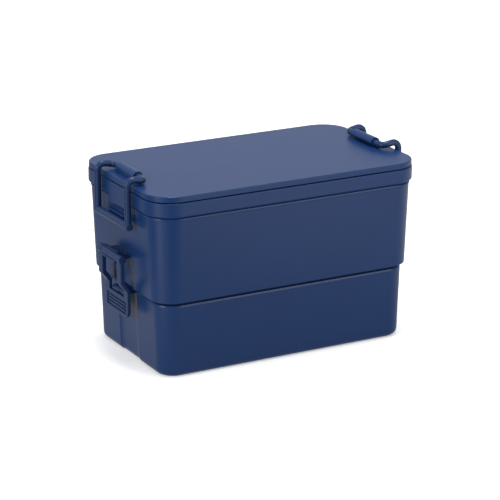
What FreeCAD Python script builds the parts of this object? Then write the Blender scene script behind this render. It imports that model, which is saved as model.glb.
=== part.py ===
"""Two-tier bento lunch box: lid, two stacked boxes, two seals and four swinging clips.

Millimetres. +X runs along the long side, +Y towards the back, +Z up.
The origin is the middle of the footprint, on the surface that the box stands on.
"""
import FreeCAD, Part
import math
import os

# Driving dimensions
# Collar of the upper box: the widest outline, from which every other outline is set in
collar_length = 190.0
collar_width = 113.7
collar_corner = 18.5
collar_height = 10.25
collar_wall = 2.4
collar_edge = 0.6
collar_underside = 1.8
mouth_depth = 7.2

# Walls
wall = 2.0
base_thickness = 2.2

# Upper box
upper_wall_height = 56.7
upper_head_inset = 1.85
upper_foot_inset = 3.95
upper_foot_edge = 1.6
nest_depth = 4.6
nest_ledge = 3.0

# Lower box
lower_height = 47.6
lower_rim_inset = 6.1
lower_foot_inset = 7.6
lower_corner = 13.5
lower_foot_round = 4.0
lower_rim_edge = 0.6
foot_band = 10.0
foot_hollow = 0.6
inner_edge = 2.0

# Shallow scooped channel down the middle of each short end
channel_width = 28.0
channel_depth = 1.1

# Lid
lid_edge_height = 3.55
lid_edge_inset = 0.3
lid_edge_draft = 0.2
lid_edge_break = 0.7
lid_plate = 2.2
lid_rim_wall = 1.0
lid_plug_depth = 6.0
lid_plug_wall = 1.6

# Seals and the shadow gaps that they leave round the seams
lid_gap = 0.7
tier_gap = 0.6
seal_lip = 1.7
seal_lip_depth = 3.2
seal_clearance = 0.3
seal_slack = 0.1
tier_groove = 1.2
tier_seat = 1.0

# Lid bails, bent from one round rod
bail_rod = 4.6
bail_flats = 10
bail_spacing = 44.0
bail_hinge_inset = 9.0
bail_hinge_lift = 0.4
bail_gap = 0.5
bail_climb = 10.0
bail_bend = 4.2
bail_corner = 3.5
bail_bar = 5.0
bail_bar_overhang = 2.4

# Snap knuckles on the lid
lid_knuckle_length = 33.0
lid_knuckle_wall = 0.9
knuckle_clearance = 0.2

# Catch lugs on the upper box, under the collar
lug_width = 23.2
lug_drop = 8.1
lug_lip = 1.0
lug_undercut = 2.0
lug_undercut_depth = 1.0
lug_overlap = 1.0
lug_clearance = 0.3
lug_round = 0.3

# Tier clips
clip_width = 33.0
clip_arm_width = 6.0
clip_arm_thickness = 2.8
clip_plate_thickness = 2.2
clip_plate_height = 13.1
clip_plate_corner = 5.0
clip_step_foot = 5.8
clip_step_height = 6.1
clip_gap = 5.4
clip_bar = 5.0
clip_edge = 0.4
clip_hinge_height = 22.5
clip_hinge_stand_off = 4.92
pad_border = 2.2
pad_depth = 0.8
pad_ribs = 3
pad_rib_width = 1.0

# Snap knuckles on the upper box and catches on the lower box
clip_knuckle_length = 20.0
clip_knuckle_wall = 1.1
clip_knuckle_mouth = 124.0
clip_knuckle_tilt = 20.0
clip_knuckle_web = 3.0
catch_width = 19.0
catch_height = 1.8
catch_overlap = 0.7
catch_clearance = 0.9
catch_lead = 1.0

# Heights that follow
upper_base = lower_height + tier_gap
collar_bottom = upper_base + upper_wall_height
collar_top = collar_bottom + collar_height
lid_bottom = collar_top + lid_gap
lid_top = lid_bottom + lid_edge_height
lid_underside = lid_top - lid_plate
overrun = 1.0

UP = FreeCAD.Vector(0, 0, 1)
ACROSS = FreeCAD.Vector(0, 1, 0)
CORNERS = ((1, 1, 0), (-1, 1, 90), (-1, -1, 180), (1, -1, 270))


def point(x, y, z):
    return FreeCAD.Vector(x, y, z)


def upright(inset, corner, bottom, top):
    """Rounded rectangle with upright walls, set in from the collar by the same amount all round."""
    half_x = collar_length / 2 - inset - corner
    half_y = collar_width / 2 - inset - corner
    arcs = []
    for side_x, side_y, start in CORNERS:
        centre = point(side_x * half_x, side_y * half_y, bottom)
        arcs.append(Part.makeCircle(corner, centre, UP, start, start + 90))
    edges = []
    for index, arc in enumerate(arcs):
        following = arcs[(index + 1) % len(arcs)]
        side_start = arc.valueAt(arc.LastParameter)
        side_end = following.valueAt(following.FirstParameter)
        edges.append(arc)
        edges.append(Part.makeLine(side_start, side_end))
    return Part.Face(Part.Wire(edges)).extrude(UP * (top - bottom))


def tapered(low, high):
    """Drafted form between two levels, each given as inset, corner radius and height.

    The corners keep their centres, so they are quarter cones between flat sides.
    """
    inset, low_corner, bottom = low
    high_corner, top = high[1:]
    half_x = collar_length / 2 - inset - low_corner
    half_y = collar_width / 2 - inset - low_corner
    side = [(-half_x - low_corner, bottom), (half_x + low_corner, bottom)]
    side += [(half_x + high_corner, top), (-half_x - high_corner, top)]
    end = [(-half_y - low_corner, bottom), (half_y + low_corner, bottom)]
    end += [(half_y + high_corner, top), (-half_y - high_corner, top)]
    lengthwise = across(side, 2 * half_y)
    ring_of_ends = [point(-half_x, y, z) for y, z in end]
    crosswise = Part.Face(Part.makePolygon(ring_of_ends + ring_of_ends[:1])).extrude(point(2 * half_x, 0, 0))
    quarters = []
    for side_x, side_y, start in CORNERS:
        centre = point(side_x * half_x, side_y * half_y, bottom)
        quarter = Part.makeCone(low_corner, high_corner, top - bottom, centre, UP, 90)
        quarter.rotate(centre, UP, start)
        quarters.append(quarter)
    return lengthwise.fuse([crosswise] + quarters).removeSplitter()


def ring(outer_inset, inner_inset, bottom, top, corner_at):
    """Band with upright walls between two insets."""
    outer = upright(outer_inset, corner_at(outer_inset), bottom, top)
    inner = upright(inner_inset, corner_at(inner_inset), bottom - overrun, top + overrun)
    return outer.cut(inner)


def edges_at(shape, height):
    """Edges that lie flat at one height."""
    flat = []
    for edge in shape.Edges:
        box = edge.BoundBox
        if abs(box.ZMin - height) < 1e-4 and abs(box.ZMax - height) < 1e-4:
            flat.append(edge)
    return flat


def across(points, width):
    """Prism of a side profile, given as x and z, centred on the middle of the short end."""
    corners = [point(x, -width / 2, z) for x, z in points]
    face = Part.Face(Part.makePolygon(corners + corners[:1]))
    return face.extrude(ACROSS * width)


def bar(radius, x, z, length):
    return Part.makeCylinder(radius, length, point(x, -length / 2, z), ACROSS)


def is_lengthwise(edge):
    """Whether an edge lies in one upright plane along the long side."""
    return edge.BoundBox.YLength < 1e-4


def opposite(shape):
    """The same piece on the other short end."""
    return shape.mirror(point(0, 0, 0), point(1, 0, 0))


def upper_inset(z):
    return upper_foot_inset + (z - upper_base) / upper_wall_height * (upper_head_inset - upper_foot_inset)


def upper_corner(inset):
    return collar_corner - inset


def lower_inset(z):
    return lower_foot_inset + z / lower_height * (lower_rim_inset - lower_foot_inset)


def lower_corner_at(inset):
    return lower_corner + lower_rim_inset - inset


def upper_level(z, extra):
    inset = upper_inset(z) + extra
    return inset, upper_corner(inset), z


def lower_level(z, extra):
    inset = lower_inset(z) + extra
    return inset, lower_corner_at(inset), z


def end_channel(form, wall_inset, bottom, top):
    """What a shallow scooped channel takes out of the short end of a form."""
    half = channel_width / 2
    skin = -collar_length / 2 + wall_inset(bottom)
    clear = skin - collar_corner
    start = point(skin, -half, bottom)
    end = point(skin, half, bottom)
    scoop = Part.Arc(start, point(skin + channel_depth, 0, bottom), end).toShape()
    outside = Part.makePolygon([end, point(clear, half, bottom), point(clear, -half, bottom), start])
    along_wall = point(wall_inset(top) - wall_inset(bottom), 0, top - bottom)
    groove = Part.Face(Part.Wire([scoop] + outside.Edges)).extrude(along_wall)
    return groove.common(form)


# Places that the clips share with what they hook under
bail_radius = bail_rod / 2
bail_hinge_x = -(collar_length / 2 - bail_hinge_inset)
bail_hinge_z = lid_top + bail_hinge_lift + bail_radius
bail_arm_x = -(collar_length / 2 + bail_gap + bail_radius)
lug_bottom = collar_bottom - lug_drop
bail_bar_z = lug_bottom - lug_clearance - bail_bar / 2
lug_tip_x = bail_arm_x + bail_bar / 2 - lug_overlap

clip_radius = clip_bar / 2
clip_hinge_z = upper_base + clip_hinge_height
clip_bore = clip_radius + knuckle_clearance
clip_wall_x = -(collar_length / 2 - upper_inset(clip_hinge_z))
clip_hinge_x = clip_wall_x - clip_hinge_stand_off - clip_bore
catch_top = lower_height - lower_rim_edge
catch_bottom = catch_top - catch_height
clip_plate_top = catch_bottom - catch_clearance
clip_plate_bottom = clip_plate_top - clip_plate_height
clip_plate_x = -(collar_length / 2 - lower_inset(clip_plate_top)) - clip_gap
catch_tip_x = clip_plate_x - catch_overlap

# Seats of the two seals
mouth_inset = collar_wall
lid_lip_inset = mouth_inset + seal_clearance
lid_plug_inset = lid_lip_inset + seal_lip + seal_slack
rim_inner_inset = lower_rim_inset + wall
tier_lip_inset = rim_inner_inset + seal_clearance
nest_inset = tier_lip_inset + seal_lip + seal_slack
nest_bottom = upper_base - nest_depth
groove_inset = lower_rim_inset + tier_seat
groove_top = upper_base + tier_groove


def make_lower_box():
    """Smaller container: drafted walls, rounded foot, channel and catch on each short end."""
    outside = tapered(lower_level(0, 0), lower_level(lower_height, 0))
    outside = outside.makeFillet(lower_foot_round, edges_at(outside, 0))
    outside = outside.makeChamfer(lower_rim_edge, edges_at(outside, lower_height))
    channel = end_channel(outside, lower_inset, -overrun, lower_height + overrun)
    body = outside.cut(channel).cut(opposite(channel))
    inside = tapered(lower_level(base_thickness, wall), lower_level(lower_height + overrun, wall))
    inside = inside.makeChamfer(inner_edge, edges_at(inside, base_thickness))
    hollow_inset = lower_foot_inset + foot_band
    hollow = upright(hollow_inset, lower_corner_at(hollow_inset), -overrun, foot_hollow)

    root_x = -(collar_length / 2 - lower_inset(catch_bottom) - wall / 2 - channel_depth)
    catch = across(
        [
            (root_x, catch_top),
            (catch_tip_x + catch_lead, catch_top),
            (catch_tip_x, catch_top - catch_lead),
            (catch_tip_x, catch_bottom),
            (root_x, catch_bottom),
        ],
        catch_width,
    )
    return body.fuse([catch, opposite(catch)]).cut(inside).cut(hollow).removeSplitter()


def make_upper_box():
    """Main container: drafted walls under a collar, stepped base, lugs and clip knuckles."""
    collar_face = collar_bottom + collar_underside
    outside = tapered(upper_level(upper_base, 0), upper_level(collar_face, 0))
    outside = outside.makeChamfer(upper_foot_edge, edges_at(outside, upper_base))
    channel = end_channel(outside, upper_inset, upper_base - overrun, clip_hinge_z)
    walls = outside.cut(channel).cut(opposite(channel))

    collar = upright(0, collar_corner, collar_bottom, collar_top)
    collar = collar.makeChamfer(collar_underside, edges_at(collar, collar_bottom))
    collar = collar.makeChamfer(collar_edge, edges_at(collar, collar_top))
    nest = upright(nest_inset, lower_corner_at(nest_inset), nest_bottom, upper_base + nest_ledge)
    nest = nest.makeChamfer(upper_foot_edge, edges_at(nest, nest_bottom))

    lug_root = -(collar_length / 2 - upper_inset(lug_bottom) - wall / 2)
    face_x = -collar_length / 2
    undercut_x = face_x + lug_undercut_depth
    undercut_bottom = lug_bottom + lug_lip
    undercut_top = undercut_bottom + lug_undercut
    lug = across(
        [
            (lug_root, collar_face),
            (face_x, collar_face),
            (face_x, undercut_top + lug_undercut_depth),
            (undercut_x, undercut_top),
            (undercut_x, undercut_bottom),
            (lug_tip_x, undercut_bottom),
            (lug_tip_x, lug_bottom),
            (lug_root, lug_bottom),
        ],
        lug_width,
    )
    sides = [edge for edge in lug.Edges if is_lengthwise(edge) and edge.BoundBox.XMax < lug_root - wall / 2]
    lug = lug.makeFillet(lug_round, sides)

    shell_radius = clip_bore + clip_knuckle_wall
    knuckle = bar(shell_radius, clip_hinge_x, clip_hinge_z, clip_knuckle_length)
    web = across(
        [
            (clip_hinge_x, clip_hinge_z + clip_knuckle_web / 2),
            (clip_wall_x + wall / 2, clip_hinge_z + clip_knuckle_web / 2),
            (clip_wall_x + wall / 2, clip_hinge_z - clip_knuckle_web / 2),
            (clip_hinge_x, clip_hinge_z - clip_knuckle_web / 2),
        ],
        clip_knuckle_length,
    )
    reach = 3 * shell_radius
    upper_lip = math.radians(clip_knuckle_tilt + clip_knuckle_mouth / 2)
    lower_lip = math.radians(clip_knuckle_tilt - clip_knuckle_mouth / 2)
    mouth = across(
        [
            (clip_hinge_x, clip_hinge_z),
            (clip_hinge_x - reach * math.cos(upper_lip), clip_hinge_z + reach * math.sin(upper_lip)),
            (clip_hinge_x - reach * math.cos(lower_lip), clip_hinge_z + reach * math.sin(lower_lip)),
        ],
        clip_knuckle_length + 2 * overrun,
    )
    bore = bar(clip_bore, clip_hinge_x, clip_hinge_z, clip_knuckle_length + 2 * overrun)
    knuckle = knuckle.fuse(web).cut(mouth).cut(bore)

    body = walls.fuse([collar, nest, lug, opposite(lug), knuckle, opposite(knuckle)])

    ledge = upper_base + nest_ledge
    mouth_bottom = collar_top - mouth_depth
    inside = tapered(upper_level(ledge, wall), upper_level(mouth_bottom, wall))
    mouth_room = upright(mouth_inset, upper_corner(mouth_inset), mouth_bottom, collar_top + overrun)
    nest_room_inset = nest_inset + wall
    nest_floor = nest_bottom + base_thickness
    nest_room = upright(nest_room_inset, lower_corner_at(nest_room_inset), nest_floor, ledge + overrun)
    nest_room = nest_room.makeChamfer(inner_edge, edges_at(nest_room, nest_floor))
    groove = ring(groove_inset, nest_inset, upper_base - overrun, groove_top, lower_corner_at)
    return body.cut(inside).cut(mouth_room).cut(nest_room).cut(groove).removeSplitter()


def make_tier_seal():
    """Silicone ring round the stepped base: a flange on the lower rim and a lip inside it."""
    inner = nest_inset - seal_slack
    lip_bottom = lower_height - seal_lip_depth
    flange = ring(groove_inset + seal_slack, inner, lower_height, groove_top, lower_corner_at)
    lip = ring(tier_lip_inset, inner, lip_bottom, groove_top, lower_corner_at)
    return flange.fuse(lip).removeSplitter()


def make_lid():
    """Flat cover with a low edge, a plug ring underneath and a snap knuckle at each end."""
    top_inset = lid_edge_inset + lid_edge_draft
    plate = tapered(
        (lid_edge_inset, upper_corner(lid_edge_inset), lid_bottom),
        (top_inset, upper_corner(top_inset), lid_top),
    )
    plate = plate.makeChamfer(lid_edge_break, edges_at(plate, lid_top))
    room_inset = lid_edge_inset + lid_rim_wall
    room = upright(room_inset, upper_corner(room_inset), lid_bottom - overrun, lid_underside)
    plug_bottom = collar_top - lid_plug_depth
    plug_root = lid_underside + lid_plate / 2
    plug = ring(lid_plug_inset, lid_plug_inset + lid_plug_wall, plug_bottom, plug_root, upper_corner)

    bore_radius = bail_radius + knuckle_clearance
    shell_radius = bore_radius + lid_knuckle_wall
    knuckle = bar(shell_radius, bail_hinge_x, bail_hinge_z, lid_knuckle_length)
    footing = across(
        [
            (bail_hinge_x - shell_radius, bail_hinge_z),
            (bail_hinge_x, bail_hinge_z),
            (bail_hinge_x, lid_top - lid_plate / 2),
            (bail_hinge_x - shell_radius, lid_top - lid_plate / 2),
        ],
        lid_knuckle_length,
    )
    over = 2 * shell_radius
    snap_mouth = across(
        [
            (bail_hinge_x, bail_hinge_z),
            (bail_hinge_x + over, bail_hinge_z),
            (bail_hinge_x + over, lid_top),
            (bail_hinge_x, lid_top),
        ],
        lid_knuckle_length + 2 * overrun,
    )
    bore = bar(bore_radius, bail_hinge_x, bail_hinge_z, lid_knuckle_length + 2 * overrun)
    below = across(
        [
            (bail_hinge_x, lid_top - lid_plate / 2),
            (bail_hinge_x + over, lid_top - lid_plate / 2),
            (bail_hinge_x + over, lid_top - lid_plate - over),
            (bail_hinge_x, lid_top - lid_plate - over),
        ],
        lid_knuckle_length + 2 * overrun,
    )
    knuckle = knuckle.fuse(footing).cut(snap_mouth).cut(bore).cut(below)
    return plate.cut(room).fuse([plug, knuckle, opposite(knuckle)]).removeSplitter()


def make_lid_seal():
    """Silicone ring round the lid's plug: a flange on the collar and a lip inside its mouth."""
    flange_inset = lid_edge_inset + lid_rim_wall + seal_slack
    inner = lid_plug_inset - seal_slack
    flange = ring(flange_inset, inner, collar_top, lid_underside, upper_corner)
    lip = ring(lid_lip_inset, inner, collar_top - seal_lip_depth, lid_underside, upper_corner)
    return flange.fuse(lip).removeSplitter()


def bent_rod(face, steps):
    """Rod that carries a section along straight runs and round bends."""
    lengths = []
    for run, centre, axis, angle in steps:
        if run is not None:
            lengths.append(face.extrude(run))
            face = face.translated(run)
        else:
            lengths.append(face.revolve(centre, axis, angle))
            face = face.rotated(centre, axis, angle)
    return lengths


def make_lid_bail():
    """Rod bent into a frame: hinge length, two arched arms over the lid's edge, and a hook bar."""
    climb = math.radians(bail_climb)
    inboard = point(math.cos(climb), 0, -math.sin(climb))
    half = bail_spacing / 2
    bend = 90 + bail_climb
    tangent = bail_bend * math.tan(math.radians(bend) / 2)
    slope = (bail_hinge_x - bail_arm_x) / math.cos(climb)
    peak_z = bail_hinge_z + slope * math.sin(climb)
    rise = peak_z - tangent - bail_bar_z

    foot = point(bail_arm_x, half, bail_bar_z)
    flats = []
    for index in range(bail_flats + 1):
        turn = 2 * math.pi * (index + 0.5) / bail_flats
        flats.append(foot + point(math.cos(turn), math.sin(turn), 0) * bail_radius)
    section = Part.Face(Part.makePolygon(flats))
    bend_centre = point(bail_arm_x + bail_bend, half, bail_bar_z + rise)
    corner_end = point(bail_hinge_x, half, bail_hinge_z) - inboard * bail_corner
    corner_centre = corner_end - ACROSS * bail_corner
    level = ACROSS.cross(inboard)
    arm = bent_rod(
        section,
        [
            (UP * rise, None, None, None),
            (None, bend_centre, ACROSS, bend),
            (inboard * (slope - tangent - bail_corner), None, None, None),
            (None, corner_centre, level, 90),
        ],
    )
    other_arm = [length.mirror(point(0, 0, 0), ACROSS) for length in arm]
    hinge = bar(bail_radius, bail_hinge_x, bail_hinge_z, bail_spacing - 2 * bail_corner)
    hook = bar(bail_bar / 2, bail_arm_x, bail_bar_z, bail_spacing + 2 * bail_bar_overhang)
    return hinge.fuse(arm + other_arm + [hook]).removeSplitter()


def make_tier_clip():
    """Flat clip: round hinge bar, two arms that step in over the seam, and a hooked thumb plate."""
    arm_out = clip_hinge_x - clip_arm_thickness / 2
    arm_in = clip_hinge_x + clip_arm_thickness / 2
    plate_out = clip_plate_x - clip_plate_thickness
    step_foot = clip_plate_top + clip_step_foot
    step_top = step_foot + clip_step_height
    strip = across(
        [
            (arm_out, clip_hinge_z),
            (arm_in, clip_hinge_z),
            (arm_in, step_top),
            (clip_plate_x, step_foot),
            (clip_plate_x, clip_plate_bottom),
            (plate_out, clip_plate_bottom),
            (plate_out, step_foot - clip_arm_thickness / 2),
            (arm_out, step_top - clip_arm_thickness / 2),
        ],
        clip_width,
    )
    corners = [edge for edge in edges_at(strip, clip_plate_bottom) if is_lengthwise(edge)]
    strip = strip.makeFillet(clip_plate_corner, corners)
    brink = [edge for edge in strip.Edges if edge not in edges_at(strip, clip_hinge_z)]
    strip = strip.makeChamfer(clip_edge, brink)
    window_width = clip_width - 2 * clip_arm_width
    window = across(
        [
            (arm_out - overrun, clip_hinge_z),
            (clip_plate_x + overrun, clip_hinge_z),
            (clip_plate_x + overrun, clip_plate_top),
            (arm_out - overrun, clip_plate_top),
        ],
        window_width,
    )
    pad_bottom = clip_plate_bottom + pad_border
    pad_top = clip_plate_top - pad_border
    pad_width = clip_width - 2 * pad_border
    pad = across(
        [
            (plate_out - overrun, pad_top),
            (plate_out + pad_depth, pad_top),
            (plate_out + pad_depth, pad_bottom),
            (plate_out - overrun, pad_bottom),
        ],
        pad_width,
    )
    body = strip.cut(window).cut(pad)
    pitch = (pad_top - pad_bottom) / (pad_ribs + 1)
    ribs = []
    for index in range(pad_ribs):
        middle = pad_bottom + (index + 1) * pitch
        ribs.append(
            across(
                [
                    (plate_out, middle - pad_rib_width / 4),
                    (plate_out + pad_depth + clip_plate_thickness / 4, middle - pad_rib_width / 2),
                    (plate_out + pad_depth + clip_plate_thickness / 4, middle + pad_rib_width / 2),
                    (plate_out, middle + pad_rib_width / 4),
                ],
                pad_width - 2 * pad_border,
            )
        )
    hinge = bar(clip_radius, clip_hinge_x, clip_hinge_z, clip_width)
    return body.fuse([hinge] + ribs).removeSplitter()


lid_bail = make_lid_bail()
tier_clip = make_tier_clip()
pieces = {
    "lid": make_lid(),
    "lid_seal": make_lid_seal(),
    "left_lid_bail": lid_bail,
    "right_lid_bail": opposite(lid_bail),
    "upper_box": make_upper_box(),
    "tier_seal": make_tier_seal(),
    "left_tier_clip": tier_clip,
    "right_tier_clip": opposite(tier_clip),
    "lower_box": make_lower_box(),
}

os.makedirs("parts", exist_ok=True)
for name, shape in pieces.items():
    box = shape.BoundBox
    print(name, shape.ShapeType, len(shape.Solids), shape.isValid(), round(shape.Volume),
          [round(v, 2) for v in (box.XMin, box.XMax, box.YMin, box.YMax, box.ZMin, box.ZMax)])
    shape.exportStep("parts/" + name + ".step")
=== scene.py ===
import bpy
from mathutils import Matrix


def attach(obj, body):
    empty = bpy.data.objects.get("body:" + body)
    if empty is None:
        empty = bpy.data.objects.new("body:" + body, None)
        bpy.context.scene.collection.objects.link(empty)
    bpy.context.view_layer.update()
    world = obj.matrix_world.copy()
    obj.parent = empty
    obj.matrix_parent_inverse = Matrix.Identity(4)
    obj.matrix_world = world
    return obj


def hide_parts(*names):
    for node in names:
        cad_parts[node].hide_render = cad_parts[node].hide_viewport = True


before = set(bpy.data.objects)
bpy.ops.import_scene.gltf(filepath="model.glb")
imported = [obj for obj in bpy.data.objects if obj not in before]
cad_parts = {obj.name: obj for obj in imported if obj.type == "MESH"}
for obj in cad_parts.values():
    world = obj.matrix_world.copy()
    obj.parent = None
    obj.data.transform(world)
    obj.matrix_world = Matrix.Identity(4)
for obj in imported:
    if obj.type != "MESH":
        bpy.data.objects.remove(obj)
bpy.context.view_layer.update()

import math

import bmesh
import bpy
from mathutils import Vector


# Lower box: the small bottom tier, injection moulded in one shot of polypropylene.
# Its walls draft outwards to the rim, its foot is well rounded, and each short end has a
# shallow scoop for the fingers and a thin ledge that the tier clip hooks under.
mm = 0.001
quarter_turn = 90.0
half_length = 95.0 * mm
half_width = 56.85 * mm
wall = 2.0
base_thickness = 2.2
lower_turn = 19.6
corner_steps = 12
foot_inset = 7.6
rim_inset = 6.1
rim_height = 47.6
rim_flare = 0.5
rim_bevel = 1.3
floor_inset = foot_inset + wall - (foot_inset - rim_inset) * base_thickness / rim_height
lower_levels = {
    "foot": (foot_inset, lower_turn, 0.0),
    "rim bevel": (rim_inset, lower_turn, rim_height - rim_bevel),
    "rim outside": (rim_inset + rim_flare, lower_turn, rim_height),
    "rim inside": (rim_inset + wall, lower_turn, rim_height),
    "floor": (floor_inset, lower_turn, base_thickness),
}
foot_round = 4.0
rim_round = 0.3
floor_round = 2.0
foot_band = 6.0
foot_hollow = 0.6
scoop_half_width = 14.0
scoop_depth = 1.1
scoop_cuts = [0.0, 0.4, 0.6, 0.75, 0.85, 0.92, 0.97, 1.0]
scoop_flatness = 6
scoop_facing = 0.2
ledge_root = -87.2
ledge_tip = -94.9
ledge_top = 47.0
ledge_bottom = 45.2
ledge_lead = 1.0
ledge_width = 19.0
ledge_edge = 0.25
ledge_profile = [
    (ledge_root, ledge_top),
    (ledge_tip + ledge_lead, ledge_top),
    (ledge_tip, ledge_top - ledge_lead),
    (ledge_tip, ledge_bottom),
    (ledge_root, ledge_bottom),
]
# Segments of a rounded edge, from one that just loses its sharpness to one that draws the outline.
slight = 2
gentle = 3
broad = 4
full = 8
crease = math.radians(32)
# Places nearer to each other than this, in metres, count as one.
weld = 1e-6
mirror_ends = (-1, 1, 1)


def outline(bm, inset, turn, z):
    """Flat level: the collar's outline set in all round; turn is how far in its corners' centres lie."""
    radius = (turn - inset) * mm
    ring = []
    for corner, (side_x, side_y) in enumerate(((1, 1), (-1, 1), (-1, -1), (1, -1))):
        for step in range(corner_steps + 1):
            angle = math.radians(quarter_turn) * (corner + step / corner_steps)
            x = side_x * (half_length - turn * mm) + radius * math.cos(angle)
            y = side_y * (half_width - turn * mm) + radius * math.sin(angle)
            ring.append(bm.verts.new((x, y, z * mm)))
    return ring


def skin(bm, levels, closed):
    """Moulded wall carried through its levels; an open one has its first and last level as caps.
    Gives the edges round each level."""
    rings = {name: outline(bm, *level) for name, level in levels.items()}
    order = list(rings.values())
    steps = list(zip(order, order[1:]))
    if closed:
        steps.append((order[-1], order[0]))
    else:
        bm.faces.new(order[0])
        bm.faces.new(order[-1])
    for low, high in steps:
        for spot in range(len(low)):
            bm.faces.new((low[spot - 1], low[spot], high[spot], high[spot - 1]))
    bmesh.ops.recalc_face_normals(bm, faces=bm.faces)
    return {name: [bm.edges.get((ring[spot - 1], ring[spot])) for spot in range(len(ring))]
            for name, ring in rings.items()}


def soften(bm, edges, radius, segments):
    """Rounds edges as the mould does."""
    bmesh.ops.bevel(bm, geom=edges, offset=radius * mm, offset_type="OFFSET", segments=segments,
                    profile=0.5, affect="EDGES", material=-1)


def only(kind, geom):
    """Those elements of an operator's result that are of one kind."""
    return [item for item in geom if isinstance(item, kind)]


def slab(bm, profile, front, back):
    """Side profile, given as x and z, carried across the short end from one y to another.
    Gives all its edges."""
    face = bm.faces.new([bm.verts.new((x * mm, front * mm, z * mm)) for x, z in profile])
    carried = bmesh.ops.extrude_face_region(bm, geom=[face])["geom"]
    ends = only(bmesh.types.BMVert, carried)
    bmesh.ops.translate(bm, verts=ends, vec=(0, (back - front) * mm, 0))
    return list(dict.fromkeys(edge for vert in list(face.verts) + ends for edge in vert.link_edges))


def everything(bm):
    """All that a bmesh holds, for operators that take a whole mesh."""
    return bm.verts[:] + bm.edges[:] + bm.faces[:]


def cut(bm, geom, spot, facing):
    """Slices geometry along a plane, so that the part on one side can be shaped alone."""
    bmesh.ops.bisect_plane(bm, geom=geom, dist=weld, plane_co=Vector(spot) * mm, plane_no=facing)


def add_opposite_end(bm):
    """Repeats everything made so far at the other short end."""
    copy = bmesh.ops.duplicate(bm, geom=everything(bm))["geom"]
    bmesh.ops.scale(bm, verts=only(bmesh.types.BMVert, copy), vec=mirror_ends)
    bmesh.ops.reverse_faces(bm, faces=only(bmesh.types.BMFace, copy))


def join(bm, fittings):
    """Adds the fittings, made in a bmesh of their own, to the moulding that carries them."""
    mesh = bpy.data.meshes.new("fittings")
    fittings.to_mesh(mesh)
    fittings.free()
    bm.from_mesh(mesh)
    bpy.data.meshes.remove(mesh)


def scoop(bm, top):
    """Hollows the outside of both short ends up to a height, flat with steep sides."""
    for share in sorted({side * place for place in scoop_cuts for side in (-1, 1)}):
        cut(bm, everything(bm), (0, share * scoop_half_width, 0), (0, 1, 0))
    bm.normal_update()
    for vert in bm.verts:
        across = vert.co.y / (scoop_half_width * mm)
        side = math.copysign(1, vert.co.x)
        if abs(across) < 1 and vert.normal.x * side > scoop_facing and vert.co.z < top * mm:
            vert.co.x -= side * scoop_depth * mm * (1 - across ** scoop_flatness)


def as_piece(name, bm, material):
    """Turns a finished bmesh into an object with crisp hard corners and smooth curves."""
    bmesh.ops.remove_doubles(bm, verts=bm.verts, dist=weld)
    bmesh.ops.recalc_face_normals(bm, faces=bm.faces)
    for face in bm.faces:
        face.smooth = True
    for edge in bm.edges:
        edge.smooth = edge.calc_face_angle(0) < crease
    mesh = bpy.data.meshes.new(name)
    bm.to_mesh(mesh)
    bm.free()
    mesh.materials.append(material)
    piece = bpy.data.objects.new(name, mesh)
    bpy.context.scene.collection.objects.link(piece)
    shading = piece.modifiers.new("even shading", "WEIGHTED_NORMAL")
    shading.keep_sharp = True
    return piece


def linear(code):
    """sRGB hex to the linear colour that a shader takes."""
    parts = [int(code[place:place + 2], 16) / 255 for place in (1, 3, 5)]
    return [part / 12.92 if part <= 0.04045 else ((part + 0.055) / 1.055) ** 2.4
            for part in parts] + [1.0]


def add(owner, kind, links, **settings):
    """One node with its settings; links give each socket a value or another node's output."""
    node = owner.node_tree.nodes.new(kind)
    for name, value in settings.items():
        setattr(node, name, value)
    for socket, value in links.items():
        if isinstance(value, bpy.types.NodeSocket):
            owner.node_tree.links.new(value, node.inputs[socket])
        else:
            node.inputs[socket].default_value = value
    return node


def new_material(name):
    """Material with an empty node tree."""
    material = bpy.data.materials.new(name)
    material.use_nodes = True
    material.node_tree.nodes.clear()
    return material


# A Mix node has several sockets of the same name, so those for colours are picked by their place.
first_colour = 6
second_colour = 7
mixed_colour = 2

# Injection-moulded polypropylene, dyed through in navy: a satin skin with a very fine spark-eroded
# grain and faint flow clouds, so its gloss is soft and a little uneven.
box_plastic = new_material("satin navy polypropylene")
place = add(box_plastic, "ShaderNodeTexCoord", {}).outputs["Object"]
cloud_size = 42.0
cloud = add(box_plastic, "ShaderNodeTexNoise", {
    "Vector": place, "Scale": 1 / (cloud_size * mm), "Detail": 3.0})
tint = add(box_plastic, "ShaderNodeMix", {
    "Factor": cloud.outputs["Fac"], first_colour: linear("#11305e"), second_colour: linear("#143566")},
    data_type="RGBA")
gloss = add(box_plastic, "ShaderNodeMapRange", {
    "Value": cloud.outputs["Fac"], "To Min": 0.27, "To Max": 0.35})
# The real grain is about 0.15 mm; it is drawn four times coarser, so that it shows.
grain_size = 0.6
grain_height = 0.03
grain = add(box_plastic, "ShaderNodeTexNoise", {
    "Vector": place, "Scale": 1 / (grain_size * mm), "Detail": 2.0})
relief = add(box_plastic, "ShaderNodeBump", {
    "Height": grain.outputs["Fac"], "Strength": 0.12, "Distance": grain_height * mm})
shader = add(box_plastic, "ShaderNodeBsdfPrincipled", {
    "Base Color": tint.outputs[mixed_colour], "Roughness": gloss.outputs["Result"], "IOR": 1.49,
    "Specular IOR Level": 0.29, "Normal": relief.outputs["Normal"]})
add(box_plastic, "ShaderNodeOutputMaterial", {"Surface": shader.outputs["BSDF"]})

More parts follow.
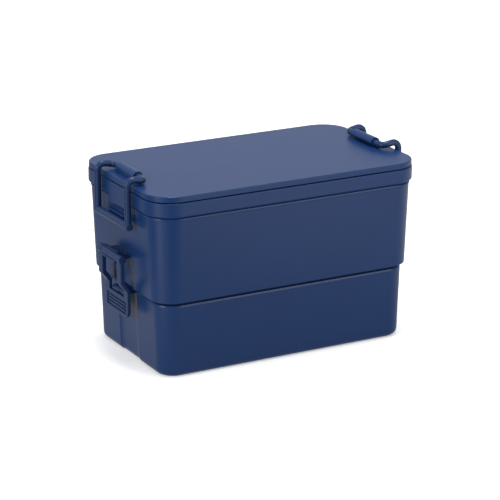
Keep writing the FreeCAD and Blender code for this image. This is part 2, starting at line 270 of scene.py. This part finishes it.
bm = bmesh.new()
rings = skin(bm, lower_levels, closed=False)
soften(bm, rings["foot"], foot_round, full)
soften(bm, rings["rim bevel"] + rings["rim outside"] + rings["rim inside"], rim_round, gentle)
soften(bm, rings["floor"], floor_round, broad)
underside = min(bm.faces, key=lambda face: face.calc_center_median().z)
bmesh.ops.inset_region(bm, faces=[underside], thickness=foot_band * mm, use_even_offset=True)
bmesh.ops.inset_region(bm, faces=[underside], thickness=foot_hollow * mm, depth=-foot_hollow * mm,
                       use_even_offset=True)
scoop(bm, rim_height)
ledge = bmesh.new()
soften(ledge, slab(ledge, ledge_profile, -ledge_width / 2, ledge_width / 2), ledge_edge, slight)
add_opposite_end(ledge)
join(bm, ledge)
lower_box = as_piece("lower_box_shell", bm, box_plastic)
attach(lower_box, "lower_box")
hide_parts("lower_box")


# Tier seal: a soft silicone ring stretched round the stepped base of the upper box.
# Its flange rests on the lower rim and its lip presses against the inside of the rim.
flange_inset = 7.2
lip_inset = 8.4
ring_inset = 10.1
seal_top = 49.4
lip_bottom = 44.4
seal_levels = {
    "flange foot": (flange_inset, lower_turn, rim_height),
    "flange head": (flange_inset, lower_turn, seal_top),
    "ring head": (ring_inset, lower_turn, seal_top),
    "ring foot": (ring_inset, lower_turn, lip_bottom),
    "lip foot": (lip_inset, lower_turn, lip_bottom),
    "lip head": (lip_inset, lower_turn, rim_height),
}
seal_edge = 0.25

# Compression-moulded silicone, dyed a darker navy: matt, with a dusty bloom in soft patches.
seal_silicone = new_material("matt navy silicone")
place = add(seal_silicone, "ShaderNodeTexCoord", {}).outputs["Object"]
bloom_size = 9.0
bloom = add(seal_silicone, "ShaderNodeTexNoise", {
    "Vector": place, "Scale": 1 / (bloom_size * mm), "Detail": 4.0})
tint = add(seal_silicone, "ShaderNodeMix", {
    "Factor": bloom.outputs["Fac"], first_colour: linear("#081a3c"), second_colour: linear("#0c2249")},
    data_type="RGBA")
dullness = add(seal_silicone, "ShaderNodeMapRange", {
    "Value": bloom.outputs["Fac"], "To Min": 0.5, "To Max": 0.68})
shader = add(seal_silicone, "ShaderNodeBsdfPrincipled", {
    "Base Color": tint.outputs[mixed_colour], "Roughness": dullness.outputs["Result"], "IOR": 1.41,
    "Specular IOR Level": 0.1})
add(seal_silicone, "ShaderNodeOutputMaterial", {"Surface": shader.outputs["BSDF"]})

bm = bmesh.new()
rings = skin(bm, seal_levels, closed=True)
soften(bm, rings["flange foot"] + rings["flange head"] + rings["ring foot"] + rings["lip foot"],
       seal_edge, slight)
tier_seal = as_piece("tier_seal_ring", bm, seal_silicone)
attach(tier_seal, "upper_box")
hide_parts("tier_seal")


# Upper box: the deep main tier in the same polypropylene, one moulding with its stout collar,
# the stepped base that nests in the lower box, an undercut lug and its seat under each end of the
# collar, and a snap knuckle above a shallow channel on each end, which the tier clip turns in.
upper_turn = 18.5
seal_slack = 0.1
nest_inset = ring_inset + seal_slack
nest_bottom = 43.6
groove_inset = flange_inset - seal_slack
upper_base = 48.2
base_inset = 3.95
base_undercut = 2.65
base_recess = 0.7
base_slope = 1.7
head_inset = 1.85
head_height = 104.9
bead_foot = 103.5
bead_belly = 103.9
bead_inset = 1.4
bead_top = 104.8
bead_top_inset = 1.7
groove_line_inset = 2.2
groove_line = 105.0
collar_face = 106.7
collar_top = 115.15
collar_wall = 2.4
mouth_bottom = 107.95
mouth_ledge_inset = 3.74
nest_ledge = 51.2
nest_ledge_inset = 5.84
draft = (base_inset - head_inset) / (head_height - upper_base)
upper_levels = {
    "nest foot": (nest_inset, lower_turn, nest_bottom),
    "nest head": (nest_inset, lower_turn, seal_top),
    "groove head": (groove_inset, lower_turn, seal_top),
    "groove foot": (groove_inset, lower_turn, upper_base + base_recess),
    "base inside": (base_inset + base_undercut, upper_turn, upper_base + base_recess),
    "base outside": (base_inset - draft * base_slope, upper_turn, upper_base + base_slope),
    "bead foot": (head_inset + draft * (head_height - bead_foot), upper_turn, bead_foot),
    "bead belly": (bead_inset, upper_turn, bead_belly),
    "bead top": (bead_top_inset, upper_turn, bead_top),
    "groove line": (groove_line_inset, upper_turn, groove_line),
    "collar foot": (0.0, upper_turn, collar_face),
    "collar outside": (0.0, upper_turn, collar_top),
    "collar inside": (collar_wall, upper_turn, collar_top),
    "mouth foot": (collar_wall, upper_turn, mouth_bottom),
    "mouth ledge": (mouth_ledge_inset, upper_turn, mouth_bottom),
    "nest ledge": (nest_ledge_inset, upper_turn, nest_ledge),
    "well head": (nest_inset + wall, lower_turn, nest_ledge),
    "well floor": (nest_inset + wall, lower_turn, nest_bottom + base_thickness),
}
nest_round = 1.6
base_edge = 0.3
bead_round = 0.22
collar_foot_edge = 0.3
collar_round = 0.7
mouth_round = 0.4
step_round = 0.5
channel_top = 67.6
channel_end = 1.0
lug_root = -92.2
lug_face = -95.02
lug_tip = -96.3
lug_top = 109.0
lug_bottom = 96.8
lug_lip = 1.0
lug_seat = -95.1
lug_foot = 93.0
undercut = 2.2
undercut_depth = 1.9
lug_round = 0.3
lug_profile = [
    (lug_root, lug_top),
    (lug_face, lug_top),
    (lug_face, lug_bottom + lug_lip + undercut + undercut_depth),
    (lug_face + undercut_depth, lug_bottom + lug_lip + undercut),
    (lug_face + undercut_depth, lug_bottom + lug_lip),
    (lug_tip, lug_bottom + lug_lip),
    (lug_tip, lug_bottom),
    (lug_seat, lug_bottom),
    (lug_seat, lug_foot),
    (lug_root, lug_foot),
]
lug_width = 23.2
clip_hinge = Vector((-99.503 * mm, 0, 70.7 * mm))
knuckle_bore = 2.7
knuckle_shell = 3.8
knuckle_length = 20.0
knuckle_mouth = 124.0
knuckle_tilt = 20.0
knuckle_steps = 30
full_turn = 360
web_out = -96.5
web_in = -90.9
web_top = 72.2
web_bottom = 69.2
web_profile = [(web_out, web_top), (web_in, web_top), (web_in, web_bottom), (web_out, web_bottom)]


def whole(face):
    """A face with its edges and corners, for operators that take all three."""
    return [face] + list(face.edges) + list(face.verts)


def knuckle(bm, hinge, bore, shell, length, start, angle):
    """Open snap knuckle: a wall turned about the hinge line, in degrees from outwards to up."""
    heading = Vector((-math.cos(math.radians(start)), 0, math.sin(math.radians(start))))
    spots = [hinge + heading * radius * mm + Vector((0, side * length / 2 * mm, 0))
             for radius, side in ((bore, -1), (shell, -1), (shell, 1), (bore, 1))]
    face = bm.faces.new([bm.verts.new(spot) for spot in spots])
    bmesh.ops.spin(bm, geom=whole(face), cent=hinge, axis=(0, 1, 0), dvec=(0, 0, 0),
                   angle=math.radians(angle), steps=knuckle_steps, use_merge=False)


bm = bmesh.new()
rings = skin(bm, upper_levels, closed=False)
soften(bm, rings["nest foot"], nest_round, gentle)
soften(bm, rings["base inside"] + rings["base outside"], base_edge, slight)
soften(bm, rings["bead belly"], bead_round, slight)
soften(bm, rings["collar foot"], collar_foot_edge, slight)
soften(bm, rings["collar outside"], collar_round, broad)
soften(bm, rings["collar inside"], mouth_round, gentle)
soften(bm, rings["mouth ledge"] + rings["nest ledge"], step_round, slight)
soften(bm, rings["well floor"], floor_round, broad)
for height in (channel_top, channel_top + channel_end):
    cut(bm, everything(bm), (0, 0, height), (0, 0, 1))
scoop(bm, channel_top + channel_end / 2)
fittings = bmesh.new()
soften(fittings, slab(fittings, lug_profile, -lug_width / 2, lug_width / 2), lug_round, gentle)
slab(fittings, web_profile, -knuckle_length / 2, knuckle_length / 2)
knuckle(fittings, clip_hinge, knuckle_bore, knuckle_shell, knuckle_length,
        knuckle_tilt + knuckle_mouth / 2, full_turn - knuckle_mouth)
add_opposite_end(fittings)
join(bm, fittings)
upper_box = as_piece("upper_box_shell", bm, box_plastic)
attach(upper_box, "upper_box")
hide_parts("upper_box")


# Tier clips: flat frames moulded in a stiffer nylon. A round bar turns in the knuckle, two arms step
# in past the seam, and the thumb plate with its grip ribs hooks below the ledge.
clip_half = 16.5
window_half = 10.5
plate_top = 44.3
plate_bottom = 31.2
plate_out = -96.396
plate_in = -94.196
arm_half = 1.4
arm_out = clip_hinge.x / mm - arm_half
arm_in = clip_hinge.x / mm + arm_half
step_top = 56.2
step_foot = 50.1
arm_profile = [
    (arm_out, clip_hinge.z / mm),
    (arm_in, clip_hinge.z / mm),
    (arm_in, step_top),
    (plate_in, step_foot),
    (plate_in, plate_bottom),
    (plate_out, plate_bottom),
    (plate_out, step_foot - arm_half),
    (arm_out, step_top - arm_half),
]
plate_profile = [
    (plate_in, plate_top),
    (plate_in, plate_bottom),
    (plate_out, plate_bottom),
    (plate_out, plate_top),
]
plate_corner = 5.0
clip_edge = 0.5
pad_half = 14.3
pad_low = 33.4
pad_high = 42.1
pad_depth = 0.8
pad_draft = 0.3
pad_margin = 0.1
rib_half = 12.1
rib_root = 1.2
rib_crest = 0.6
rib_count = 3
rib_edge = 0.15
bar_radius = 2.5
bar_sides = 24
bar_edge = 0.5
eye_radius = 2.75
eye_overlap = 0.2
front_facing = -0.99
flat_limit = math.radians(1)
hard_limit = math.radians(40)


def round_bar(bm, radius, middle, length, easing):
    """Moulded bar that lies across the short end, with its two ends eased."""
    start = bmesh.ops.create_circle(bm, cap_ends=True, segments=bar_sides, radius=radius * mm)["verts"]
    lying = Vector((0, 0, 1)).rotation_difference(Vector((0, 1, 0))).to_matrix()
    bmesh.ops.rotate(bm, verts=start, cent=(0, 0, 0), matrix=lying)
    bmesh.ops.translate(bm, verts=start, vec=middle - Vector((0, length / 2 * mm, 0)))
    carried = bmesh.ops.extrude_face_region(bm, geom=[start[0].link_faces[0]])["geom"]
    end = only(bmesh.types.BMVert, carried)
    bmesh.ops.translate(bm, verts=end, vec=(0, length * mm, 0))
    caps = [face for face in bm.faces if len(face.verts) == bar_sides and face.verts[0] in start + end]
    soften(bm, [edge for cap in caps for edge in cap.edges], easing, gentle)


def plate_front(bm):
    """Faces on the outside of the thumb plate."""
    return [face for face in bm.faces if face.normal.x < front_facing
            and abs(face.calc_center_median().x - plate_out * mm) < weld]


def on_pad(vert):
    """Whether a corner belongs to the grip pad, whose edges stay crisp."""
    return (plate_out * mm - weld < vert.co.x < (plate_out + pad_depth + pad_margin) * mm
            and abs(vert.co.y) < (pad_half + pad_margin) * mm
            and pad_low - pad_margin < vert.co.z / mm < pad_high + pad_margin)


def tier_clip():
    """The left clip: arms and thumb plate in one, the recessed pad, its ribs, the bar and its eyes."""
    bm = bmesh.new()
    for side in (-1, 1):
        slab(bm, arm_profile, side * window_half, side * clip_half)
    cut(bm, everything(bm), (0, 0, plate_top), (0, 0, 1))
    slab(bm, plate_profile, -window_half, window_half)
    hidden = [face for face in bm.faces if face.calc_center_median().z < plate_top * mm
              and abs(abs(face.calc_center_median().y) - window_half * mm) < weld]
    bmesh.ops.delete(bm, geom=hidden, context="FACES_ONLY")
    bmesh.ops.remove_doubles(bm, verts=bm.verts, dist=weld)
    bmesh.ops.recalc_face_normals(bm, faces=bm.faces)
    bmesh.ops.dissolve_limit(bm, angle_limit=flat_limit, verts=bm.verts, edges=bm.edges)
    corners = [edge for edge in bm.edges
               if all(abs(vert.co.z - plate_bottom * mm) < weld for vert in edge.verts)
               and abs(edge.verts[0].co.y - edge.verts[1].co.y) < weld]
    soften(bm, corners, plate_corner, full)

    for spot, facing in (((0, 0, pad_low), (0, 0, 1)), ((0, 0, pad_high), (0, 0, 1)),
                         ((0, -pad_half, 0), (0, 1, 0)), ((0, pad_half, 0), (0, 1, 0))):
        geom = [item for face in plate_front(bm) for item in whole(face)]
        cut(bm, list(dict.fromkeys(geom)), spot, facing)
    pad = [face for face in plate_front(bm) if abs(face.calc_center_median().y) < pad_half * mm
           and pad_low * mm < face.calc_center_median().z < pad_high * mm]
    bmesh.ops.inset_region(bm, faces=pad, thickness=pad_draft * mm, depth=-pad_depth * mm,
                           use_even_offset=True)
    bmesh.ops.dissolve_limit(bm, angle_limit=flat_limit, verts=bm.verts, edges=bm.edges)
    hard = [edge for edge in bm.edges if edge.calc_face_angle(0) > hard_limit
            and not all(on_pad(vert) for vert in edge.verts)]
    soften(bm, hard, clip_edge, gentle)

    pitch = (pad_high - pad_low) / (rib_count + 1)
    rib_foot = plate_out + pad_depth + rib_edge
    for rib in range(rib_count):
        middle = pad_low + (rib + 1) * pitch
        rib_profile = [
            (rib_foot, middle - rib_root / 2),
            (plate_out, middle - rib_crest / 2),
            (plate_out, middle + rib_crest / 2),
            (rib_foot, middle + rib_root / 2),
        ]
        soften(bm, slab(bm, rib_profile, -rib_half, rib_half), rib_edge, slight)
    round_bar(bm, bar_radius, clip_hinge, 2 * window_half, bar_edge)
    for side in (-1, 1):
        middle = clip_hinge + Vector((0, side * (window_half + clip_half) / 2 * mm, 0))
        round_bar(bm, eye_radius, middle, clip_half - window_half + eye_overlap, bar_edge)
    return bm


# Injection-moulded nylon, a shade darker than the boxes: its satin gloss is a touch duller, and
# rubbed uneven by the fingers that open it.
clip_plastic = new_material("navy moulded nylon")
place = add(clip_plastic, "ShaderNodeTexCoord", {}).outputs["Object"]
rub_size = 6.0
rub = add(clip_plastic, "ShaderNodeTexNoise", {
    "Vector": place, "Scale": 1 / (rub_size * mm), "Detail": 5.0})
tint = add(clip_plastic, "ShaderNodeMix", {
    "Factor": rub.outputs["Fac"], first_colour: linear("#0f2a53"), second_colour: linear("#13325d")},
    data_type="RGBA")
gloss = add(clip_plastic, "ShaderNodeMapRange", {
    "Value": rub.outputs["Fac"], "To Min": 0.3, "To Max": 0.4})
grain = add(clip_plastic, "ShaderNodeTexNoise", {
    "Vector": place, "Scale": 1 / (grain_size * mm), "Detail": 2.0})
relief = add(clip_plastic, "ShaderNodeBump", {
    "Height": grain.outputs["Fac"], "Strength": 0.1, "Distance": grain_height * mm})
shader = add(clip_plastic, "ShaderNodeBsdfPrincipled", {
    "Base Color": tint.outputs[mixed_colour], "Roughness": gloss.outputs["Result"], "IOR": 1.53,
    "Specular IOR Level": 0.31, "Normal": relief.outputs["Normal"]})
add(clip_plastic, "ShaderNodeOutputMaterial", {"Surface": shader.outputs["BSDF"]})

left_tier_clip = as_piece("left_tier_clip_frame", tier_clip(), clip_plastic)
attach(left_tier_clip, "left_tier_clip")
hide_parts("left_tier_clip")
bm = tier_clip()
bmesh.ops.scale(bm, verts=bm.verts, vec=mirror_ends)
right_tier_clip = as_piece("right_tier_clip_frame", bm, clip_plastic)
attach(right_tier_clip, "right_tier_clip")
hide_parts("right_tier_clip")


# Lid: a flat plate moulded in the same polypropylene, with a low, slightly drafted edge. A plug ring
# under it centres it in the mouth, and a snap knuckle near each end carries the bail.
lid_bottom = 115.85
lid_top = 119.4
lid_underside = 117.2
lid_inset = 0.3
lid_draft = 0.2
lid_rim = 1.3
plug_inset = 4.5
plug_wall = 1.6
plug_bottom = 109.15
lid_levels = {
    "plug inside head": (plug_inset + plug_wall, upper_turn, lid_underside),
    "plug inside foot": (plug_inset + plug_wall, upper_turn, plug_bottom),
    "plug outside foot": (plug_inset, upper_turn, plug_bottom),
    "plug outside head": (plug_inset, upper_turn, lid_underside),
    "rim inside head": (lid_rim, upper_turn, lid_underside),
    "rim inside foot": (lid_rim, upper_turn, lid_bottom),
    "rim outside foot": (lid_inset, upper_turn, lid_bottom),
    "top": (lid_inset + lid_draft, upper_turn, lid_top),
}
lid_edge_round = 0.6
lid_foot_edge = 0.2
plug_round = 0.5
bail_hinge = Vector((-86.0 * mm, 0, 122.1 * mm))
bail_bore = 2.5
bail_shell = 3.4
bail_knuckle_length = 25.0
bail_knuckle_start = 0.0
bail_knuckle_wrap = 180.0
footing_out = -89.4
footing_in = -86.0
footing_top = 122.2
footing_bottom = 118.6
# The footing's hollow side runs round the rod.
rod_bed = [
    (-88.55, footing_top),
    (-88.3, 121.15),
    (-87.75, 120.3),
    (-86.95, 119.75),
    (footing_in, 119.55),
]
footing_profile = [
    (footing_out, footing_top),
    *rod_bed,
    (footing_in, footing_bottom),
    (footing_out, footing_bottom),
]

bm = bmesh.new()
rings = skin(bm, lid_levels, closed=False)
soften(bm, rings["top"], lid_edge_round, broad)
soften(bm, rings["rim inside foot"] + rings["rim outside foot"], lid_foot_edge, slight)
soften(bm, rings["plug inside foot"] + rings["plug outside foot"], plug_round, gentle)
knuckles = bmesh.new()
knuckle(knuckles, bail_hinge, bail_bore, bail_shell, bail_knuckle_length,
        bail_knuckle_start, bail_knuckle_wrap)
slab(knuckles, footing_profile, -bail_knuckle_length / 2, bail_knuckle_length / 2)
add_opposite_end(knuckles)
join(bm, knuckles)
lid = as_piece("lid_plate", bm, box_plastic)
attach(lid, "lid")
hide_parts("lid")


# Lid seal: a ring of the same silicone, stretched round the lid's plug, with a flange that the
# collar presses on and a lip that wipes the inside of the mouth.
lid_lip_inset = 2.7
lid_lip_bottom = 111.95
lid_seal_levels = {
    "ring head": (plug_inset - seal_slack, upper_turn, lid_underside),
    "ring foot": (plug_inset - seal_slack, upper_turn, lid_lip_bottom),
    "lip foot": (lid_lip_inset, upper_turn, lid_lip_bottom),
    "lip head": (lid_lip_inset, upper_turn, collar_top),
    "flange foot": (lid_rim + seal_slack, upper_turn, collar_top),
    "flange head": (lid_rim + seal_slack, upper_turn, lid_underside),
}
bm = bmesh.new()
rings = skin(bm, lid_seal_levels, closed=True)
soften(bm, rings["ring foot"] + rings["lip foot"] + rings["flange foot"], seal_edge, slight)
lid_seal = as_piece("lid_seal_ring", bm, seal_silicone)
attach(lid_seal, "lid")
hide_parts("lid_seal")


# Lid bails: one round nylon rod each, moulded as a bent frame. It snaps into the lid's knuckle,
# arches over the lid's edge and carries a thicker hook bar that pulls up under the lug.
rod_radius = 2.18
rod_sides = 20
bail_half = 22.0
arm_x = -97.8
hook_z = 94.0
hook_radius = 2.5
hook_length = 48.8
hook_edge = 0.7
climb = 10.0
over_edge = quarter_turn + climb
bend_radius = 4.2
corner_radius = 3.5
bend_step = 9.0
mirror_sides = Vector((1, -1, 1))


def run(bm, end, way):
    """Carries the rod's end straight on; the end of a bend would stay inside the rod, so it goes."""
    carried = bmesh.ops.extrude_face_region(bm, geom=[end])["geom"]
    bmesh.ops.translate(bm, verts=only(bmesh.types.BMVert, carried), vec=way * mm)
    if all(len(edge.link_faces) > 2 for edge in end.edges):
        bmesh.ops.delete(bm, geom=[end], context="FACES_ONLY")
    return only(bmesh.types.BMFace, carried)[0]


def bend(bm, end, centre, axis, angle):
    """Carries the rod's end round a bend, whose angle is in degrees."""
    steps = round(abs(angle) / bend_step)
    last = bmesh.ops.spin(bm, geom=whole(end), cent=centre, axis=axis, dvec=(0, 0, 0),
                          angle=math.radians(angle), steps=steps, use_merge=False)["geom_last"]
    return only(bmesh.types.BMFace, last)[0]


def bail():
    """The left bail: the rod from its back foot over the lid to its front foot, then the hook bar."""
    bm = bmesh.new()
    rise = math.radians(climb)
    inboard = Vector((math.cos(rise), 0, -math.sin(rise)))
    upright = Vector((0, 1, 0)).cross(inboard)
    slope = (bail_hinge.x / mm - arm_x) / math.cos(rise)
    tangent = bend_radius * math.tan(math.radians(over_edge) / 2)
    bend_z = bail_hinge.z / mm + slope * math.sin(rise) - tangent
    straight = slope - tangent - corner_radius
    bend_centre = Vector((arm_x + bend_radius, bail_half, bend_z)) * mm
    corner = Vector((0, bail_half - corner_radius, 0)) - inboard * corner_radius
    corner_centre = bail_hinge + corner * mm
    start = bmesh.ops.create_circle(bm, cap_ends=True, segments=rod_sides,
                                    radius=rod_radius * mm)["verts"]
    bmesh.ops.translate(bm, verts=start, vec=Vector((arm_x, bail_half, hook_z)) * mm)
    end = run(bm, start[0].link_faces[0], Vector((0, 0, bend_z - hook_z)))
    end = bend(bm, end, bend_centre, (0, 1, 0), over_edge)
    end = run(bm, end, inboard * straight)
    end = bend(bm, end, corner_centre, upright, quarter_turn)
    end = run(bm, end, Vector((0, -2 * (bail_half - corner_radius), 0)))
    end = bend(bm, end, corner_centre * mirror_sides, upright, quarter_turn)
    end = run(bm, end, -inboard * straight)
    end = bend(bm, end, bend_centre * mirror_sides, (0, 1, 0), -over_edge)
    run(bm, end, Vector((0, 0, hook_z - bend_z)))
    round_bar(bm, hook_radius, Vector((arm_x, 0, hook_z)) * mm, hook_length, hook_edge)
    return bm


left_lid_bail = as_piece("left_lid_bail_rod", bail(), clip_plastic)
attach(left_lid_bail, "left_lid_bail")
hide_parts("left_lid_bail")
bm = bail()
bmesh.ops.scale(bm, verts=bm.verts, vec=mirror_ends)
right_lid_bail = as_piece("right_lid_bail_rod", bm, clip_plastic)
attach(right_lid_bail, "right_lid_bail")
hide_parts("right_lid_bail")


# Studio: a seamless white table under a white sky, with a softbox low at the left, a panel in front
# on the right and a softbox overhead. The camera stands in front, to the left and a little above.
table_half = 6.0
bm = bmesh.new()
bmesh.ops.create_grid(bm, x_segments=1, y_segments=1, size=table_half)
floor_mesh = bpy.data.meshes.new("table")
bm.to_mesh(floor_mesh)
bm.free()
floor = bpy.data.objects.new("table", floor_mesh)
bpy.context.scene.collection.objects.link(floor)

# Matt white laminate: the camera sees it pure white outside the shadow. The box sees it grey, with
# painted pools of light on it: an emission that only the box's reflections and bounce light meet,
# standing in for lamp light on the table. It is brightest at the left and in front, with painted
# shade between the two, and dimmer round the back. The pools' levels go by degrees from the left,
# by the front and the right to the back.
painted_pool_levels = {
    0: 0.3,
    18: 1.85,
    38: 0.6,
    58: 0.0,
    74: 0.2,
    108: 1.3,
    150: 0.8,
    240: 0.5,
    300: 0.25,
    330: 0.05,
}
# Between these distances from the middle, in metres, the painted glow near the box gives way to the
# painted pools.
pool_start = 0.15
pool_full = 0.33
near_level = 0.4
# What the camera sees is lifted to white by this much.
camera_lift = 0.34
# The Mix node's sockets for plain levels, again by their place.
first_level = 2
second_level = 3
mixed_level = 0
table_with_painted_light = new_material("white table with painted light pools")
seen = add(table_with_painted_light, "ShaderNodeLightPath", {}).outputs["Is Camera Ray"]
place = add(table_with_painted_light, "ShaderNodeTexCoord", {}).outputs["Object"]
compass = add(table_with_painted_light, "ShaderNodeTexGradient", {"Vector": place}, gradient_type="RADIAL")
pools = add(table_with_painted_light, "ShaderNodeValToRGB", {"Fac": compass.outputs["Fac"]})
pools.color_ramp.interpolation = "EASE"
for heading in list(painted_pool_levels)[1:-1]:
    pools.color_ramp.elements.new(heading / full_turn)
for stop, (heading, level) in zip(pools.color_ramp.elements, painted_pool_levels.items()):
    stop.position = heading / full_turn
    stop.color = (level, level, level, 1.0)
away = add(table_with_painted_light, "ShaderNodeVectorMath", {0: place}, operation="LENGTH")
spread = add(table_with_painted_light, "ShaderNodeMapRange", {
    "Value": away.outputs["Value"], "From Min": pool_start, "From Max": pool_full})
pool = add(table_with_painted_light, "ShaderNodeMix", {
    "Factor": spread.outputs["Result"], first_level: near_level, second_level: pools.outputs["Color"]})
glow_level = add(table_with_painted_light, "ShaderNodeMix", {
    "Factor": seen, first_level: pool.outputs[mixed_level], second_level: camera_lift})
paint = add(table_with_painted_light, "ShaderNodeMix", {
    "Factor": seen, first_colour: linear("#6e6e6e"), second_colour: linear("#f4f4f4")},
    data_type="RGBA")
matt = add(table_with_painted_light, "ShaderNodeBsdfDiffuse", {"Color": paint.outputs[mixed_colour]})
# The painted light: a glow that the box's reflections see as pools of lamp light and painted shade; to
# the camera it is only the even lift to white.
glow = add(table_with_painted_light, "ShaderNodeEmission", {"Strength": glow_level.outputs[mixed_level]})
both = add(table_with_painted_light, "ShaderNodeAddShader", {0: matt.outputs["BSDF"], 1: glow.outputs["Emission"]})
add(table_with_painted_light, "ShaderNodeOutputMaterial", {"Surface": both.outputs["Shader"]})
floor_mesh.materials.append(table_with_painted_light)

# The sky is white to the camera and lights the box a little less.
sky_light = 0.6
sky_white = 1.0
world = bpy.data.worlds.new("white studio")
world.use_nodes = True
world.node_tree.nodes.clear()
seen = add(world, "ShaderNodeLightPath", {}).outputs["Is Camera Ray"]
strength = add(world, "ShaderNodeMapRange", {"Value": seen, "To Min": sky_light, "To Max": sky_white})
sky = add(world, "ShaderNodeBackground", {
    "Color": linear("#ffffff"), "Strength": strength.outputs["Result"]})
add(world, "ShaderNodeOutputWorld", {"Surface": sky.outputs["Background"]})
bpy.context.scene.world = world

lamp_aim = Vector((0, 0, 0.06))


def softbox(name, spot, size, power):
    """Square lamp that faces the middle of the box; places and sizes in metres, power in watts."""
    light = bpy.data.lights.new(name, "AREA")
    light.size = size
    light.energy = power
    lamp = bpy.data.objects.new(name, light)
    lamp.location = spot
    lamp.rotation_euler = (lamp_aim - Vector(spot)).to_track_quat("-Z", "Y").to_euler()
    bpy.context.scene.collection.objects.link(lamp)


softbox("left softbox", spot=(-1.4, -0.25, 0.6), size=0.5, power=7.0)
softbox("right panel", spot=(0.75, -1.3, 0.55), size=0.6, power=4.5)
softbox("overhead softbox", spot=(0.05, 0.0, 1.6), size=0.6, power=17.5)

lens = 160.3
sensor_width = 36.0
stand = Vector((-0.6549, -1.2125, 0.5006))
aim = Vector((0.00082, 0.00214, 0.05707))
camera = bpy.data.cameras.new("camera")
camera.lens = lens
camera.sensor_width = sensor_width
viewpoint = bpy.data.objects.new("camera", camera)
viewpoint.location = stand
viewpoint.rotation_euler = (aim - stand).to_track_quat("-Z", "Y").to_euler()
bpy.context.scene.collection.objects.link(viewpoint)
bpy.context.scene.camera = viewpoint
bpy.context.scene.view_settings.view_transform = "Standard"
